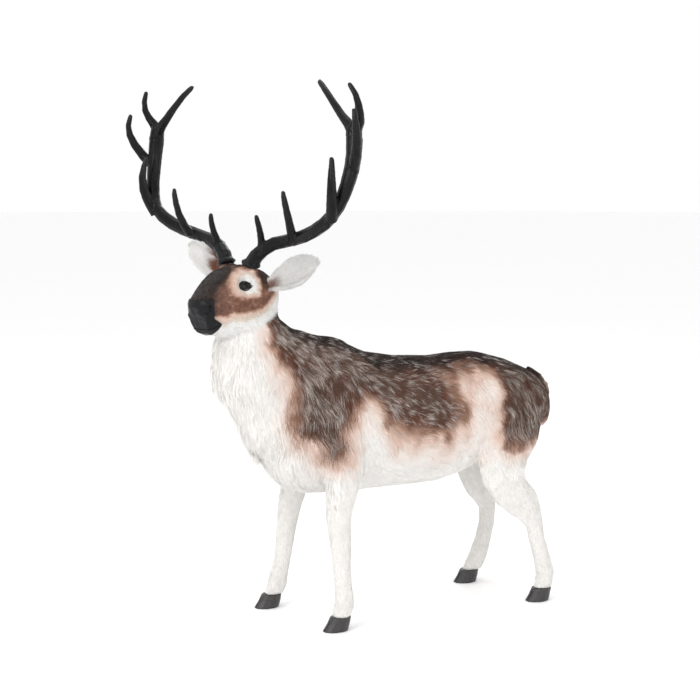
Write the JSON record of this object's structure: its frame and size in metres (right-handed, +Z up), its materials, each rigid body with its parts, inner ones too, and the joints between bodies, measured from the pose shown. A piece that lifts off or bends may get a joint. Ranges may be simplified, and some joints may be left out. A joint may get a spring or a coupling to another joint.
{
  "type": "standing reindeer display figure",
  "caption": "Life-size standing reindeer decoration: faux-fur cover over foam forms and a steel frame, cloven hooves, moulded muzzle, glass eyes and lift-off branching antlers.",
  "frame": {"origin": "on the ground plane the hooves stand on, under the middle of the outer box", "axes": "+Z up, -Y the way the body faces, +X the animal's left; the head is turned 18 degrees towards the animal's left"},
  "size_m": [0.8006, 1.0638, 1.3537],
  "materials": {
    "dark_fur": "matte",
    "white_fur": "matte",
    "foam": "matte",
    "frame_steel": "satin",
    "black_resin": "satin",
    "black_rubber": "satin",
    "eye_glass": "gloss",
    "socket_plastic": "matte"
  },
  "bodies": {
    "body": {"antler_socket_left": "socket_plastic", "antler_socket_right": "socket_plastic", "ear_left": "white_fur", "ear_right": "white_fur", "eye_left": "eye_glass", "eye_right": "eye_glass", "eyelid_left": "black_rubber", "eyelid_right": "black_rubber", "head_form": "foam", "head_fur": "dark_fur", "head_plate": "frame_steel", "hip_bolt": "frame_steel", "hip_crossbar": "frame_steel", "hoof_front_left": "black_resin", "hoof_front_right": "black_resin", "hoof_hind_left": "black_resin", "hoof_hind_right": "black_resin", "hoof_nut_front_left": "frame_steel", "hoof_nut_front_right": "frame_steel", "hoof_nut_hind_left": "frame_steel", "hoof_nut_hind_right": "frame_steel", "leg_form_front_left": "foam", "leg_form_front_right": "foam", "leg_form_hind_left": "foam", "leg_form_hind_right": "foam", "leg_fur_front_left": "white_fur", "leg_fur_front_right": "white_fur", "leg_fur_hind_left": "white_fur", "leg_fur_hind_right": "white_fur", "leg_rod_front_left": "frame_steel", "leg_rod_front_right": "frame_steel", "leg_rod_hind_left": "frame_steel", "leg_rod_hind_right": "frame_steel", "lower_lip": "black_rubber", "mane_fur": "white_fur", "muzzle": "black_rubber", "neck_form": "foam", "neck_rod": "frame_steel", "rod_nut_front_left": "frame_steel", "rod_nut_front_right": "frame_steel", "rod_nut_hind_left": "frame_steel", "rod_nut_hind_right": "frame_steel", "shoulder_bolt": "frame_steel", "shoulder_crossbar": "frame_steel", "spine_bar": "frame_steel", "tail": "dark_fur", "torso_form_left": "foam", "torso_form_right": "foam", "torso_fur": "dark_fur"},
    "antler_left": {"antler_left": "black_resin", "antler_peg_left": "frame_steel"},
    "antler_right": {"antler_right": "black_resin", "antler_peg_right": "frame_steel"}
  },
  "joints": [
    {"name": "antler_left_pull", "type": "slide", "parent": "body", "child": "antler_left", "axis": [0.3096, 0.1006, 0.9455], "range_m": [0, 0.07]},
    {"name": "antler_right_pull", "type": "slide", "parent": "body", "child": "antler_right", "axis": [-0.3096, -0.1006, 0.9455], "range_m": [0, 0.07]}
  ]
}
